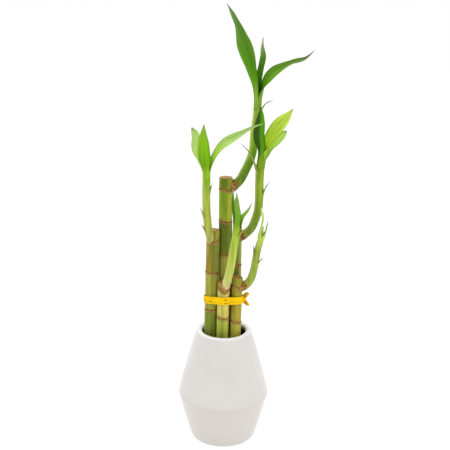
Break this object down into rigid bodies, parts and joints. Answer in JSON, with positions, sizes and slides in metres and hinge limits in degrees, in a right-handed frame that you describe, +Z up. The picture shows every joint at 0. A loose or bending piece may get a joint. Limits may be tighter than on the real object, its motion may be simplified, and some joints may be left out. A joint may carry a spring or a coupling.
{
  "type": "lucky bamboo in a vase",
  "caption": "Lucky bamboo: cut green canes, each with a leafy shoot, tied with a yellow ribbon and standing in a white glazed waisted vase.",
  "frame": {"origin": "middle of the vase's flat foot", "axes": "+Z up along the vase; the front of the bunch faces -Y, +X is to its right"},
  "size_m": [0.1083, 0.0792, 0.3727],
  "materials": {
    "vase_glaze": "smooth off-white gloss glaze, dark inside",
    "water": "still clear water",
    "ribbon": "shiny yellow satin tie ribbon",
    "cane": "waxy olive to green cane with tan joint rings",
    "shoot": "soft yellow-green shoot",
    "leaf": "satin fresh green blade with fine parallel veins"
  },
  "bodies": {
    "root": {"vase": "vase_glaze", "water": "water", "tie": "ribbon", "cane_tall": "cane", "cane_left": "cane", "cane_front": "cane", "cane_right": "cane", "cane_back": "cane", "shoot_tall": "shoot", "shoot_left": "shoot", "shoot_front": "shoot", "shoot_right": "shoot", "shoot_back": "shoot", "leaf_tall_1": "leaf", "leaf_tall_2": "leaf", "leaf_tall_3": "leaf", "leaf_left_1": "leaf", "leaf_left_2": "leaf", "leaf_left_3": "leaf", "leaf_front_1": "leaf", "leaf_front_2": "leaf", "leaf_front_3": "leaf", "leaf_right_1": "leaf", "leaf_right_2": "leaf", "leaf_back_1": "leaf", "leaf_back_2": "leaf", "leaf_back_3": "leaf"}
  },
  "joints": []
}
